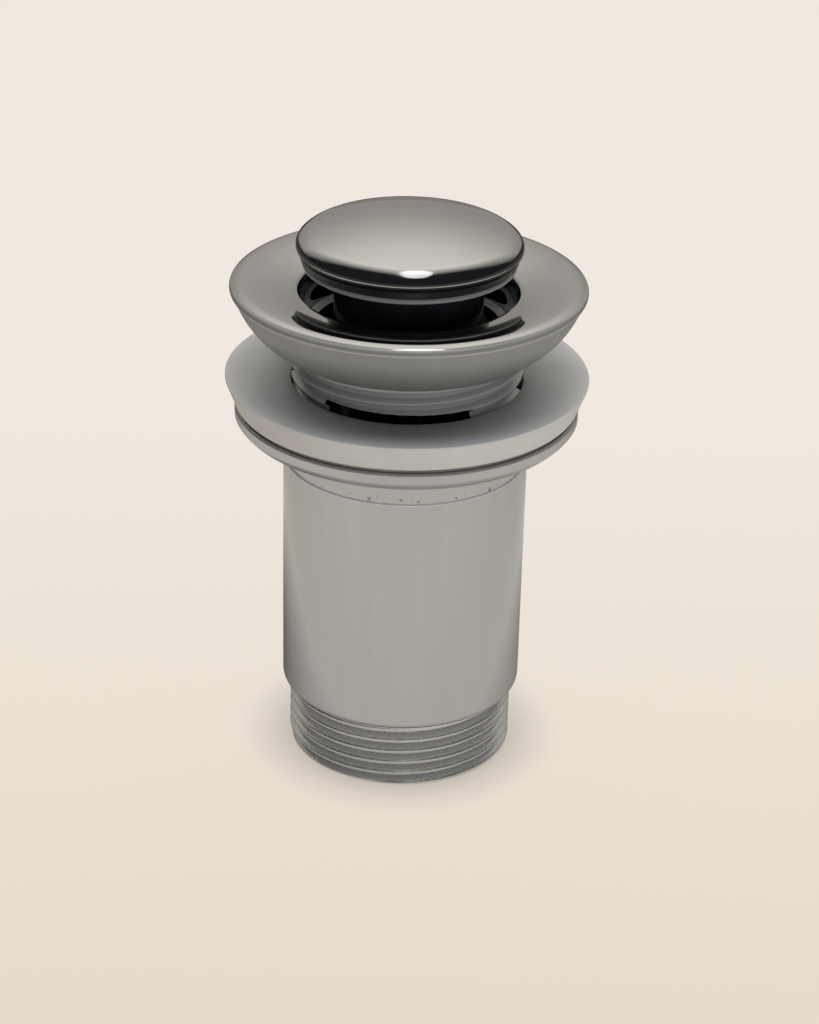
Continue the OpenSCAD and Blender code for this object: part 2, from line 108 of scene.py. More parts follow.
def make_piece(name, mesh, finishes, crease=32):
    """An object of the mesh, smooth but for its creases, with its finishes in slot order."""
    mesh.name = name
    slots = [min(face.material_index, len(finishes) - 1) for face in mesh.polygons]
    mesh.materials.clear()
    for finish in finishes:
        mesh.materials.append(finish)
    mesh.polygons.foreach_set("material_index", slots)
    mesh.polygons.foreach_set("use_smooth", [True] * len(mesh.polygons))
    mesh.set_sharp_from_angle(angle=math.radians(crease))
    piece = bpy.data.objects.new(name, mesh)
    bpy.context.scene.collection.objects.link(piece)
    return piece


def plain_mesh(thing):
    """The evaluated mesh of an object, which is then removed."""
    graph = bpy.context.evaluated_depsgraph_get()
    mesh = bpy.data.meshes.new_from_object(thing.evaluated_get(graph), depsgraph=graph)
    bpy.data.objects.remove(thing)
    return mesh


def welded(body_mesh, thread_mesh):
    """One closed mesh of a turned body, in slot 0, and its thread, in slot 1."""
    work = bmesh.new()
    work.from_mesh(body_mesh)
    for face in work.faces:
        face.material_index = 0
    count = len(work.faces)
    work.from_mesh(thread_mesh)
    work.faces.ensure_lookup_table()
    for face in work.faces[count:]:
        face.material_index = 1
    bmesh.ops.remove_doubles(work, verts=work.verts, dist=2e-6)
    mesh = bpy.data.meshes.new("welded")
    work.to_mesh(mesh)
    work.free()
    return mesh


def counting(tree):
    """A function that adds a sum to a tree, of numbers and outputs, and gives its result."""
    def count(operation, *values):
        node = tree.nodes.new("ShaderNodeMath")
        node.operation = operation
        for socket, value in zip(node.inputs, values):
            if isinstance(value, (int, float)):
                socket.default_value = value
            else:
                tree.links.new(value, socket)
        return node.outputs[0]

    return count


def thread_tree():
    """A tree that lays a sheet round the axis as a right-handed rounded thread with a lead and a run-out."""
    tree = bpy.data.node_groups.new("helical thread", "GeometryNodeTree")
    for label, kind in (
        ("Crest radius", "Float"), ("Depth", "Float"), ("Pitch", "Float"), ("Foot", "Float"),
        ("Top", "Float"), ("Lead", "Float"), ("Run-out", "Float"), ("End radius", "Float"),
        ("Start", "Float"), ("Rows in a pitch", "Int"), ("Segments", "Int"), ("Finish", "Material"),
    ):
        tree.interface.new_socket(name=label, in_out="INPUT", socket_type="NodeSocket" + kind)
    tree.interface.new_socket(name="Thread", in_out="OUTPUT", socket_type="NodeSocketGeometry")
    given = tree.nodes.new("NodeGroupInput").outputs
    count = counting(tree)
    height = count("SUBTRACT", given["Top"], given["Foot"])
    pitches = count("CEIL", count("ADD", count("DIVIDE", height, given["Pitch"]), 1))
    rows = count("ADD", count("MULTIPLY", pitches, given["Rows in a pitch"]), 1)
    sheet = tree.nodes.new("GeometryNodeMeshGrid")
    tree.links.new(count("ADD", given["Segments"], 1), sheet.inputs["Vertices X"])
    tree.links.new(count("ADD", rows, 1), sheet.inputs["Vertices Y"])
    sheet.inputs["Size X"].default_value = 1
    sheet.inputs["Size Y"].default_value = 1
    flat = tree.nodes.new("ShaderNodeSeparateXYZ")
    tree.links.new(tree.nodes.new("GeometryNodeInputPosition").outputs[0], flat.inputs[0])
    along = count("ADD", flat.outputs["X"], 0.5)
    row = count("ROUND", count("MULTIPLY", count("ADD", flat.outputs["Y"], 0.5), rows))
    climb = count("DIVIDE", count("SUBTRACT", row, 1), given["Rows in a pitch"])
    climb = count("ADD", count("SUBTRACT", climb, 1), along)
    z = count("MULTIPLY_ADD", climb, given["Pitch"], given["Foot"])
    z = count("MINIMUM", count("MAXIMUM", z, given["Foot"]), given["Top"])
    up = count("SUBTRACT", z, given["Foot"])
    phase = count("SUBTRACT", count("DIVIDE", up, given["Pitch"]), along)
    phase = count("ADD", phase, given["Start"])
    crest_share, flank_slope, round_share = 1 / 6, 0.9605, 0.14
    flank = count("PINGPONG", count("MULTIPLY", phase, 2), 1)
    steep = count("MULTIPLY", given["Pitch"], flank_slope)
    flank = count("MULTIPLY", count("SUBTRACT", flank, crest_share), steep)
    ease = count("MULTIPLY", given["Pitch"], round_share)
    groove = count("SMOOTH_MAX", count("SMOOTH_MIN", flank, given["Depth"], ease), 0, ease)
    fade = count("DIVIDE", count("SUBTRACT", given["Top"], z), given["Run-out"])
    fade = count("MINIMUM", count("MAXIMUM", fade, 0), 1)
    radius = count("SUBTRACT", given["Crest radius"], count("MULTIPLY", groove, fade))
    lead = count("ADD", count("SUBTRACT", given["Crest radius"], given["Lead"]), up)
    radius = count("MINIMUM", radius, lead)
    is_end = count("LESS_THAN", row, 0.5)
    radius = count("MULTIPLY_ADD", is_end, count("SUBTRACT", given["End radius"], radius), radius)
    angle = count("MULTIPLY", along, 2 * math.pi)
    place = tree.nodes.new("ShaderNodeCombineXYZ")
    tree.links.new(count("MULTIPLY", radius, count("COSINE", angle)), place.inputs["X"])
    tree.links.new(count("MULTIPLY", radius, count("SINE", angle)), place.inputs["Y"])
    tree.links.new(z, place.inputs["Z"])
    lay = tree.nodes.new("GeometryNodeSetPosition")
    tree.links.new(sheet.outputs["Mesh"], lay.inputs["Geometry"])
    tree.links.new(place.outputs[0], lay.inputs["Position"])
    merge = tree.nodes.new("GeometryNodeMergeByDistance")
    merge.inputs["Distance"].default_value = 2e-6
    tree.links.new(lay.outputs[0], merge.inputs["Geometry"])
    real = tree.nodes.new("GeometryNodeRealizeInstances")
    tree.links.new(merge.outputs[0], real.inputs[0])
    coat = tree.nodes.new("GeometryNodeSetMaterial")
    tree.links.new(real.outputs[0], coat.inputs["Geometry"])
    tree.links.new(given["Finish"], coat.inputs["Material"])
    tree.links.new(coat.outputs[0], tree.nodes.new("NodeGroupOutput").inputs[0])
    return tree


helical_thread = thread_tree()


def grown(tree, **sizes):
    """The plain mesh that a tree gives with these inputs, whose names have _ for a space or dash."""
    seed = bpy.data.objects.new("seed", bpy.data.meshes.new("seed"))
    bpy.context.scene.collection.objects.link(seed)
    grow = seed.modifiers.new("grow", "NODES")
    grow.node_group = tree
    for item in tree.interface.items_tree:
        if item.in_out == "INPUT":
            grow[item.identifier] = sizes[item.name.replace(" ", "_").replace("-", "_")]
    return plain_mesh(seed)


def new_finish(name, sockets):
    """A material whose shader has these sockets set, and that shader."""
    finish = bpy.data.materials.new(name)
    finish.use_nodes = True
    shader = finish.node_tree.nodes["Principled BSDF"]
    for socket, value in sockets.items():
        shader.inputs[socket].default_value = value
    return finish, shader


def grain(finish, scale, detail=3.0, stretch=(1, 1, 1)):
    """Noise on the piece's own coordinates, stretched along its axes."""
    nodes, links = finish.node_tree.nodes, finish.node_tree.links
    laid = nodes.new("ShaderNodeMapping")
    laid.inputs["Scale"].default_value = stretch
    links.new(nodes.new("ShaderNodeTexCoord").outputs["Object"], laid.inputs["Vector"])
    noise = nodes.new("ShaderNodeTexNoise")
    noise.inputs["Scale"].default_value = scale
    noise.inputs["Detail"].default_value = detail
    links.new(laid.outputs["Vector"], noise.inputs["Vector"])
    return noise.outputs["Fac"]


def between(finish, value, low, high, start=0.3, end=0.7):
    """A number from low to high as the value goes from start to end."""
    spread = finish.node_tree.nodes.new("ShaderNodeMapRange")
    for socket, number in zip(("From Min", "From Max", "To Min", "To Max"), (start, end, low, high)):
        spread.inputs[socket].default_value = number
    finish.node_tree.links.new(value, spread.inputs["Value"])
    return spread.outputs["Result"]


def shades(finish, value, *stops):
    """A colour from stops of (place, red, green, blue)."""
    ramp = finish.node_tree.nodes.new("ShaderNodeValToRGB")
    for i, (place, *colour) in enumerate(stops):
        stop = ramp.color_ramp.elements[i] if i < 2 else ramp.color_ramp.elements.new(place)
        stop.position = place
        stop.color = (*colour, 1)
    finish.node_tree.links.new(value, ramp.inputs["Fac"])
    return ramp.outputs["Color"]


def relief(finish, value, strength, depth):
    """A bump of that depth in metres."""
    bump = finish.node_tree.nodes.new("ShaderNodeBump")
    bump.inputs["Strength"].default_value = strength
    bump.inputs["Distance"].default_value = depth
    finish.node_tree.links.new(value, bump.inputs["Height"])
    return bump.outputs["Normal"]


def join(finish, output, shader, socket):
    """Links an output to a socket of the finish's shader."""
    finish.node_tree.links.new(output, shader.inputs[socket])


def chrome_plate(name, polish=0.05, stretch=(1, 1, 1)):
    """Polished plate: cloudy in tone and gloss, along the way that it was buffed."""
    finish, shader = new_finish(name, {"Metallic": 1.0})
    cloud = grain(finish, 70, 4, stretch)
    tone = shades(finish, cloud, (0.3, 0.440, 0.456, 0.461), (0.7, 0.456, 0.473, 0.478))
    join(finish, tone, shader, "Base Color")
    buff = grain(finish, 420, 3, stretch)
    join(finish, between(finish, buff, polish * 0.7, polish * 1.5), shader, "Roughness")
    join(finish, relief(finish, grain(finish, 160, 2, stretch), 0.12, 0.00002), shader, "Normal")
    return finish


def cut_thread_plate(name, metal, gloss, *tones):
    """Plate over a cut thread: rough between two gloss numbers, and darker in the grooves, a painted groove
    shade.
    """
    finish, shader = new_finish(name, {"Metallic": metal})
    nodes, links = finish.node_tree.nodes, finish.node_tree.links
    parts = nodes.new("ShaderNodeSeparateXYZ")
    links.new(nodes.new("ShaderNodeTexCoord").outputs["Object"], parts.inputs[0])
    flat = nodes.new("ShaderNodeCombineXYZ")
    links.new(parts.outputs["X"], flat.inputs["X"])
    links.new(parts.outputs["Y"], flat.inputs["Y"])
    reach = nodes.new("ShaderNodeVectorMath")
    reach.operation = "LENGTH"
    links.new(flat.outputs[0], reach.inputs[0])
    # Painted shade: the colour darkens towards the thread roots, where the grooves fall in shade.
    height = between(finish, reach.outputs["Value"], 0, 1, 0.0195, 0.0209)
    join(finish, shades(finish, height, *tones), shader, "Base Color")
    join(finish, between(finish, grain(finish, 900, 4), *gloss), shader, "Roughness")
    join(finish, relief(finish, grain(finish, 1500, 3), 0.05, 0.00002), shader, "Normal")
    return finish


def satin_plate(name, dull, bright):
    """Plate that the polishing wheel didn't reach, between two colours; on the bowl they are painted shade, on
    the tube lip a painted glint.
    """
    finish, shader = new_finish(name, {"Metallic": 0.5})
    join(finish, shades(finish, grain(finish, 120, 4), (0.3, *dull), (0.7, *bright)), shader, "Base Color")
    join(finish, between(finish, grain(finish, 700, 4), 0.4, 0.5), shader, "Roughness")
    join(finish, relief(finish, grain(finish, 900, 3), 0.2, 0.00003), shader, "Normal")
    return finish


tube_plate = chrome_plate("drawn tube chrome", 0.08, (5, 5, 0.4))
# Painted highlight: the tube's top edge is plated nearly white, a painted glint.
painted_glint_lip_plate = satin_plate("tube lip with painted glint", (0.82, 0.838, 0.843), (0.88, 0.898, 0.903))
thread_plate = cut_thread_plate(
    "cut thread chrome", 0.7, (0.22, 0.32),
    (0.0, 0.46, 0.471, 0.474), (0.55, 0.56, 0.573, 0.577), (1.0, 0.60, 0.614, 0.618),
)
pitch = 2.309
crest_r, thread_top, outlet_r, outlet_root = 20.95, 12.5, 18.65, 19.3
tube_r, tube_top, mouth_r, mouth_foot, bore_r = 22.35, 59.0, 21.68, 57.0, 21.3
tube_line = (
    [(crest_r, thread_top)]
    + bend_points((20.85, 14.0), 1.5, -60, 0, 10)
    + rounded([
        (tube_r, 14.3, 0), (tube_r, 58.78, 0.05), (22.06, tube_top, 0.05), (mouth_r, tube_top, 0),
        (mouth_r, mouth_foot, 0), (bore_r, mouth_foot, 0), (bore_r, 17.675, 0.5), (outlet_r, 13.7, 0.5),
        (outlet_r, 0.0, 0.45), (outlet_root, 0.0, 0),
    ])
)
tube_thread = grown(
    helical_thread, Crest_radius=crest_r / 1000, Depth=0.001479, Pitch=pitch / 1000, Foot=0.0,
    Top=thread_top / 1000,
    Lead=0.0005, Run_out=0.0011, End_radius=outlet_root / 1000, Start=0.63, Rows_in_a_pitch=14,
    Segments=TURN, Finish=thread_plate,
)
tube_mesh = welded(turned_mesh("tube", tube_line, closed=False), tube_thread)
# The tube's top edge takes the plate with the painted glint.
for face in tube_mesh.polygons:
    if face.center.z > 0.0587 and math.hypot(face.center.x, face.center.y) > 0.022:
        face.material_index = 2
tube = make_piece("chrome_tail_tube", tube_mesh, [tube_plate, thread_plate, painted_glint_lip_plate])
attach(tube, "tail")
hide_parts("tail_tube")


# Clamp collar: turned brass flange with a short neck, brazed into the mouth of the tail tube.
# Its underside swells to a rounded edge, and the braze leaves small dark specks round the neck's foot.
collar_line = (
    [(21.05, 57.0), (21.65, 57.0), (21.65, 59.0), (22.05, 59.0), (22.05, 59.1)]
    + bend_points((22.85, 64.1), 0.8, 180, 90, 8)
    + [(22.93, 64.9)]
)
collar_r, collar_top, collar_bore, swell_height = 31.2, 69.2, 21.05, 0.8
belly = [(26.685, 64.9), (collar_r, 67.265)]
for k in range(13):
    t = k / 12
    run, rise = belly[1][0] - belly[0][0], belly[1][1] - belly[0][1]
    swell = swell_height * 4 * t * (1 - t) / math.hypot(run, rise)
    collar_line.append((belly[0][0] + run * t + rise * swell, belly[0][1] + rise * t - run * swell))
collar_line += rounded([(collar_r, 67.6, 0), (collar_r, collar_top, 0.4), (collar_bore, collar_top, 0.2),
                        (collar_bore, 58.0, 0)])
collar_plate = chrome_plate("turned collar chrome", 0.06)
nodes, links = collar_plate.node_tree.nodes, collar_plate.node_tree.links
speck_height = nodes.new("ShaderNodeSeparateXYZ")
links.new(nodes.new("ShaderNodeTexCoord").outputs["Object"], speck_height.inputs[0])
foot = between(collar_plate, speck_height.outputs["Z"], 1, 0, 0.0594, 0.0606)
speck = nodes.new("ShaderNodeMath")
speck.operation = "MULTIPLY"
links.new(foot, speck.inputs[0])
links.new(between(collar_plate, grain(collar_plate, 900, 2), 0, 1, 0.64, 0.7), speck.inputs[1])
stain = nodes.new("ShaderNodeMix")
stain.data_type = "RGBA"
shader = nodes["Principled BSDF"]
links.new(speck.outputs[0], stain.inputs["Factor"])
links.new(shader.inputs["Base Color"].links[0].from_socket, stain.inputs["A"])
stain.inputs["B"].default_value = (0.13, 0.13, 0.12, 1)
links.new(stain.outputs["Result"], shader.inputs["Base Color"])
edge_plate = satin_plate("turned collar edge", (0.40, 0.41, 0.413), (0.44, 0.45, 0.453))
collar_mesh = turned_mesh("collar", collar_line)
for face in collar_mesh.polygons:
    if face.center.z > 0.0687 and math.hypot(face.center.x, face.center.y) > 0.0305:
        face.material_index = 1
collar = make_piece("chrome_clamp_collar", collar_mesh, [collar_plate, edge_plate])
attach(collar, "tail")
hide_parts("clamp_collar")


# Slip washer: thin dark plastic ring that lets the collar turn without dragging the gasket.
# It lies loose between the two and shows as a dark line.
washer_plastic, shader = new_finish("dark washer plastic", {"IOR": 1.49})
join(washer_plastic, shades(washer_plastic, grain(washer_plastic, 300), (0.3, 0.17, 0.172, 0.172),
                            (0.7, 0.21, 0.212, 0.21)), shader, "Base Color")
join(washer_plastic, between(washer_plastic, grain(washer_plastic, 700), 0.35, 0.55), shader, "Roughness")
join(washer_plastic, relief(washer_plastic, grain(washer_plastic, 1400), 0.2, 0.00003), shader, "Normal")
washer_bore, washer_r, washer_top = 21.1, 30.6, 69.9
washer_line = rounded([
    (washer_bore, collar_top, 0.1), (washer_r, collar_top, 0.15), (washer_r, washer_top, 0.15),
    (washer_bore, washer_top, 0.1),
])
washer = make_piece("plastic_slip_washer", turned_mesh("washer", washer_line), [washer_plastic])
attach(washer, "gasket")
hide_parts("slip_washer")


# Basin gasket: moulded pale rubber, a little see-through, with a tapered side and a dished face.
# It sits loose on the shank and is pressed up against the underside of the basin.
gasket_rubber, shader = new_finish(
    "pale gasket rubber",
    {"Subsurface Weight": 0.25, "Subsurface Radius": (0.0022, 0.002, 0.0018), "Subsurface Scale": 1.0,
     "IOR": 1.45},
)
join(gasket_rubber, shades(gasket_rubber, grain(gasket_rubber, 90, 4), (0.3, 0.58, 0.595, 0.60),
                           (0.7, 0.63, 0.645, 0.65)), shader, "Base Color")
join(gasket_rubber, between(gasket_rubber, grain(gasket_rubber, 600), 0.3, 0.46), shader, "Roughness")
join(gasket_rubber, relief(gasket_rubber, grain(gasket_rubber, 1300, 4), 0.25, 0.00003), shader, "Normal")
gasket_bore, gasket_r, gasket_top = 20.98, 32.9, 74.9
gasket_line = rounded([
    (gasket_bore, washer_top, 0.2), (31.0, washer_top, 0.1), (31.2, 70.1, 0.15), (gasket_r, 74.5, 0.2),
    (gasket_r, gasket_top, 0.3), (gasket_bore, 74.0, 0.2),
], 8)
gasket = make_piece("rubber_basin_gasket", turned_mesh("gasket", gasket_line), [gasket_rubber])
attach(gasket, "gasket")
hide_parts("basin_gasket")


# Flange body: one brass casting, turned and chrome plated: bowl, throat, threaded shank and spider.
# Three overflow slots are milled through the shank, and the spider's arms stand between them.
def cut(piece, tool, operation):
    """The piece's mesh with the tool's added or taken away. Both are removed."""
    change = piece.modifiers.new("change", "BOOLEAN")
    change.operation = operation
    change.solver = "MANIFOLD"
    change.object = tool
    mesh = plain_mesh(piece)
    bpy.data.objects.remove(tool)
    return mesh


def loose(mesh):
    """A bare object of a mesh, to work on."""
    thing = bpy.data.objects.new("work", mesh)
    bpy.context.scene.collection.objects.link(thing)
    return thing


def sector_mesh(inner, outer, low, high, centre, width, steps=40):
    """A closed sector of a ring, in millimetres and degrees."""
    work = bmesh.new()
    rows = []
    for k in range(steps + 1):
        a = math.radians(centre - width / 2 + width * k / steps)
        rows.append([
            work.verts.new((r / 1000 * math.cos(a), r / 1000 * math.sin(a), z / 1000))
            for r, z in ((inner, low), (outer, low), (outer, high), (inner, high))
        ])
    for first, second in zip(rows, rows[1:]):
        for i in range(4):
            work.faces.new((first[i], second[i], second[(i + 1) % 4], first[(i + 1) % 4]))
    work.faces.new(rows[0])
    work.faces.new(rows[-1][::-1])
    bmesh.ops.recalc_face_normals(work, faces=work.faces)
    mesh = bpy.data.meshes.new("sector")
    work.to_mesh(mesh)
    work.free()
    return mesh


flange_plate = chrome_plate("turned flange chrome", 0.05)
shank_plate = cut_thread_plate(
    "satin shank plate", 0.4, (0.28, 0.38),
    (0.0, 0.36, 0.369, 0.371), (0.35, 0.43, 0.44, 0.444), (1.0, 0.54, 0.553, 0.558),
)
bowl_foot, shank_foot, shank_bore, shank_root, bowl_swell = 80.3, 41.3, 16.65, 19.3, 1.8
bowl_line = [(crest_r, bowl_foot)]
run, rise = 31.4 - crest_r, 90.8 - bowl_foot
for k in range(1, 31):
    t = k / 30
    swell = bowl_swell * 4 * t * (1 - t) / math.hypot(run, rise)
    bowl_line.append((crest_r + run * t + rise * swell, bowl_foot + rise * t - run * swell))
bowl_line += bend_points((31.2, 91.6), 0.8, -60, 50.5, 12)
bowl_line += bend_points((29.8, 89.9), 3.0, 50.5, 90, 14)[1:]
face_r, face_z, face_fall = 29.6, 92.9, 0.0184
for k in range(13):
    r = face_r - (face_r - 20.55) * k / 12
    bowl_line.append((r, face_z - face_fall * (face_r - r) ** 2))
bowl_line += bend_points((20.8, 90.2), 1.2, 106, 180, 14)
bowl_line += rounded([
    (19.581, 90.1, 0), (18.5, 84.4, 0.3), (shank_bore, 84.4, 0.25), (shank_bore, shank_foot, 0.45),
    (shank_root, shank_foot, 0),
])
shank_thread = grown(
    helical_thread, Crest_radius=crest_r / 1000, Depth=0.0011, Pitch=pitch / 1000, Foot=shank_foot / 1000,
    Top=bowl_foot / 1000, Lead=0.0009, Run_out=0.0009, End_radius=shank_root / 1000, Start=0.0,
    Rows_in_a_pitch=12,
    Segments=TURN, Finish=shank_plate,
)
body = welded(turned_mesh("bowl", bowl_line, closed=False), shank_thread)
spider = turned_mesh("spider", [(9.3, 73.95), (12.2, 73.95), (12.2, 78.95), (9.3, 78.95)])
slot_low, slot_high, slot_width, first_slot = 62.6, 75.6, 77, -94.4
for i in range(3):
    slot_at = first_slot + 120 * i
    slot_tool = sector_mesh(15.6, 22.0, slot_low, slot_high, slot_at, slot_width)
    body = cut(loose(body), loose(slot_tool), "DIFFERENCE")
    arm = bmesh.new()
    bmesh.ops.create_cube(arm, size=1)
    arm.transform(
        Matrix.Rotation(math.radians(slot_at + 60), 4, "Z")
        @ Matrix.Translation((0.0148, 0, 0.07645)) @ Matrix.Diagonal((0.0081, 0.005, 0.005, 1)))
    arm_mesh = bpy.data.meshes.new("arm")
    arm.to_mesh(arm_mesh)
    arm.free()
    spider = cut(loose(spider), loose(arm_mesh), "UNION")
body = cut(loose(body), loose(spider), "UNION")
rim_plate = satin_plate("satin plated rim", (0.385, 0.395, 0.398), (0.415, 0.425, 0.428))
# Painted shade: the bowl's plate is darker than the rim's, painting the shade under the bowl.
painted_shade_bowl_plate = satin_plate("satin bowl with painted shade", (0.265, 0.278, 0.288), (0.29, 0.304, 0.315))
# The rim and the throat's shelf take the rim plate; the bowl takes the darker plate with painted shade.
for face in body.polygons:
    x, y, z = face.center
    reach = math.hypot(x, y)
    if reach > 0.0315 and 0.0905 < z < 0.0925 or 0.0166 < reach < 0.0186 and 0.0842 < z < 0.0848:
        face.material_index = 2
    elif reach > 0.021 and z < 0.0908:
        face.material_index = 3
flange = make_piece("chrome_flange_body", body, [flange_plate, shank_plate, rim_plate, painted_shade_bowl_plate])
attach(flange, "waste")
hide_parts("flange_body")


# Latch: black moulded barrel with its cover, held in the spider by a brass nut on a flat gasket.
# The barrel, cover and nut are the turned and moulded solids themselves, with their own finishes.
barrel_plastic, shader = new_finish("black moulded plastic", {"IOR": 1.5})
join(barrel_plastic, shades(barrel_plastic, grain(barrel_plastic, 180), (0.3, 0.010, 0.0115, 0.014),
                            (0.7, 0.018, 0.020, 0.024)), shader, "Base Color")
join(barrel_plastic, between(barrel_plastic, grain(barrel_plastic, 500), 0.16, 0.3), shader, "Roughness")
join(barrel_plastic, relief(barrel_plastic, grain(barrel_plastic, 900), 0.15, 0.00003), shader, "Normal")
black_rubber, shader = new_finish("black seal rubber", {"IOR": 1.52})
join(black_rubber, shades(black_rubber, grain(black_rubber, 260), (0.3, 0.006, 0.0065, 0.007),
                          (0.7, 0.013, 0.0135, 0.014)), shader, "Base Color")
join(black_rubber, between(black_rubber, grain(black_rubber, 800), 0.32, 0.5), shader, "Roughness")
join(black_rubber, relief(black_rubber, grain(black_rubber, 1700, 4), 0.3, 0.00003), shader, "Normal")
nut_brass, shader = new_finish("machined brass", {"Metallic": 1.0})
join(nut_brass, shades(nut_brass, grain(nut_brass, 150), (0.3, 0.40, 0.285, 0.12),
                       (0.7, 0.48, 0.35, 0.16)), shader, "Base Color")
join(nut_brass, between(nut_brass, grain(nut_brass, 700, 3, (1, 1, 4)), 0.16, 0.32), shader, "Roughness")
join(nut_brass, relief(nut_brass, grain(nut_brass, 900, 3, (1, 1, 5)), 0.2, 0.00003), shader, "Normal")
cam_plastic, shader = new_finish("white cam plastic", {"IOR": 1.48})
join(cam_plastic, shades(cam_plastic, grain(cam_plastic, 200), (0.3, 0.70, 0.68, 0.61),
                         (0.7, 0.78, 0.76, 0.70)), shader, "Base Color")
join(cam_plastic, between(cam_plastic, grain(cam_plastic, 600), 0.34, 0.5), shader, "Roughness")
join(cam_plastic, relief(cam_plastic, grain(cam_plastic, 1200), 0.2, 0.00003), shader, "Normal")
washer_steel, shader = new_finish("drawn and stamped steel", {"Metallic": 1.0})
join(washer_steel, shades(washer_steel, grain(washer_steel, 250), (0.3, 0.44, 0.44, 0.43),
                          (0.7, 0.55, 0.55, 0.54)), shader, "Base Color")
join(washer_steel, between(washer_steel, grain(washer_steel, 900), 0.2, 0.36), shader, "Roughness")
join(washer_steel, relief(washer_steel, grain(washer_steel, 1500), 0.2, 0.00002), shader, "Normal")
for solid, finish in (
    ("latch_barrel", barrel_plastic), ("barrel_cover", barrel_plastic), ("barrel_gasket", black_rubber),
    ("stem_wiper", black_rubber), ("barrel_nut", nut_brass), ("cam_guide", cam_plastic),
    ("index_rotor", cam_plastic), ("plunger", cam_plastic), ("spring_washer", washer_steel),
    ("lock_washer", washer_steel), ("plug_stud", nut_brass),
):
    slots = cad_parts[solid].material_slots
    if slots:
        slots[0].material = finish
    else:
        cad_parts[solid].data.materials.append(finish)


# Return spring: drawn steel wire coiled with closed ends, between the barrel's floor and the rotor.
# It is swept along its coil.
def spring_tree():
    """A tree that sweeps a round wire along a coil whose end turns lie closed."""
    tree = bpy.data.node_groups.new("closed coil", "GeometryNodeTree")
    for label, kind in (("Coil radius", "Float"), ("Wire", "Float"), ("Turns", "Float"), ("Foot", "Float"),
                        ("Length", "Float"), ("Steps", "Int"), ("Finish", "Material")):
        tree.interface.new_socket(name=label, in_out="INPUT", socket_type="NodeSocket" + kind)
    tree.interface.new_socket(name="Spring", in_out="OUTPUT", socket_type="NodeSocketGeometry")
    given = tree.nodes.new("NodeGroupInput").outputs
    count = counting(tree)
    rod = tree.nodes.new("GeometryNodeCurvePrimitiveLine")
    rod.inputs["End"].default_value = (1, 0, 0)
    points = tree.nodes.new("GeometryNodeResampleCurve")
    tree.links.new(rod.outputs[0], points.inputs["Curve"])
    tree.links.new(given["Steps"], points.inputs["Count"])
    share = tree.nodes.new("GeometryNodeSplineParameter").outputs["Factor"]
    rise = count("SUBTRACT", given["Length"], given["Wire"])
    end_turn = count("DIVIDE", 1, given["Turns"])
    lift = count("DIVIDE", given["Wire"], rise)
    low = count("MULTIPLY", lift, count("DIVIDE", share, end_turn))
    left = count("DIVIDE", count("SUBTRACT", 1, share), end_turn)
    high = count("SUBTRACT", 1, count("MULTIPLY", lift, left))
    slope = count("DIVIDE", count("SUBTRACT", 1, count("MULTIPLY", lift, 2)),
                  count("SUBTRACT", 1, count("MULTIPLY", end_turn, 2)))
    middle = count("MULTIPLY_ADD", count("SUBTRACT", share, end_turn), slope, lift)
    climb = count("MINIMUM", count("MAXIMUM", low, middle), high)
    angle = count("MULTIPLY", share, count("MULTIPLY", given["Turns"], 2 * math.pi))
    place = tree.nodes.new("ShaderNodeCombineXYZ")
    tree.links.new(count("MULTIPLY", given["Coil radius"], count("COSINE", angle)), place.inputs["X"])
    tree.links.new(count("MULTIPLY", given["Coil radius"], count("SINE", angle)), place.inputs["Y"])
    start = count("MULTIPLY_ADD", given["Wire"], 0.5, given["Foot"])
    tree.links.new(count("MULTIPLY_ADD", climb, rise, start), place.inputs["Z"])
    lay = tree.nodes.new("GeometryNodeSetPosition")
    tree.links.new(points.outputs[0], lay.inputs["Geometry"])
    tree.links.new(place.outputs[0], lay.inputs["Position"])
    ring = tree.nodes.new("GeometryNodeCurvePrimitiveCircle")
    ring.inputs["Resolution"].default_value = 14
    tree.links.new(count("MULTIPLY", given["Wire"], 0.5), ring.inputs["Radius"])
    sweep = tree.nodes.new("GeometryNodeCurveToMesh")
    sweep.inputs["Fill Caps"].default_value = True
    tree.links.new(lay.outputs[0], sweep.inputs["Curve"])
    tree.links.new(ring.outputs[0], sweep.inputs["Profile Curve"])
    real = tree.nodes.new("GeometryNodeRealizeInstances")
    tree.links.new(sweep.outputs[0], real.inputs[0])
    coat = tree.nodes.new("GeometryNodeSetMaterial")
    tree.links.new(real.outputs[0], coat.inputs["Geometry"])
    tree.links.new(given["Finish"], coat.inputs["Material"])
    tree.links.new(coat.outputs[0], tree.nodes.new("NodeGroupOutput").inputs[0])
    return tree


coil = grown(spring_tree(), Coil_radius=0.0058, Wire=0.001, Turns=6.0, Foot=0.05725, Length=0.014,
             Steps=240, Finish=washer_steel)
spring = make_piece("steel_return_spring", coil, [washer_steel], 50)
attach(spring, "waste")
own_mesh(spring)
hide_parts("return_spring")


# Plug, lower half: black moulded guide skirt on the stud, and a chrome plate with a rounded lip.
# The skirt slides down over the latch barrel, and the plate holds the seal up against the cap.
stud_way, skirt_bore, skirt_r, skirt_foot, web_foot, web_top = 2.6, 11.8, 13.4, 86.2, 93.5, 95.5
skirt_line = rounded([
    (stud_way, web_foot, 0), (skirt_bore, web_foot, 0.4), (skirt_bore, skirt_foot, 0.25),
    (skirt_r, skirt_foot, 0.35), (skirt_r, web_top, 0.15), (stud_way, web_top, 0),
])
skirt = make_piece("plastic_guide_skirt", turned_mesh("skirt", skirt_line), [barrel_plastic])
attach(skirt, "plug")
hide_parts("guide_skirt")
plate_top = 96.5
plate_line = [(stud_way, web_top)] + bend_points((18.602, 96.0), 0.5, -90, 90, 14) + [(stud_way, plate_top)]
stamped_plate = satin_plate("stamped plate", (0.50, 0.513, 0.517), (0.54, 0.554, 0.558))
plate = make_piece("chrome_seal_plate", turned_mesh("plate", plate_line), [stamped_plate])
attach(plate, "plug")
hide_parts("seal_retainer")


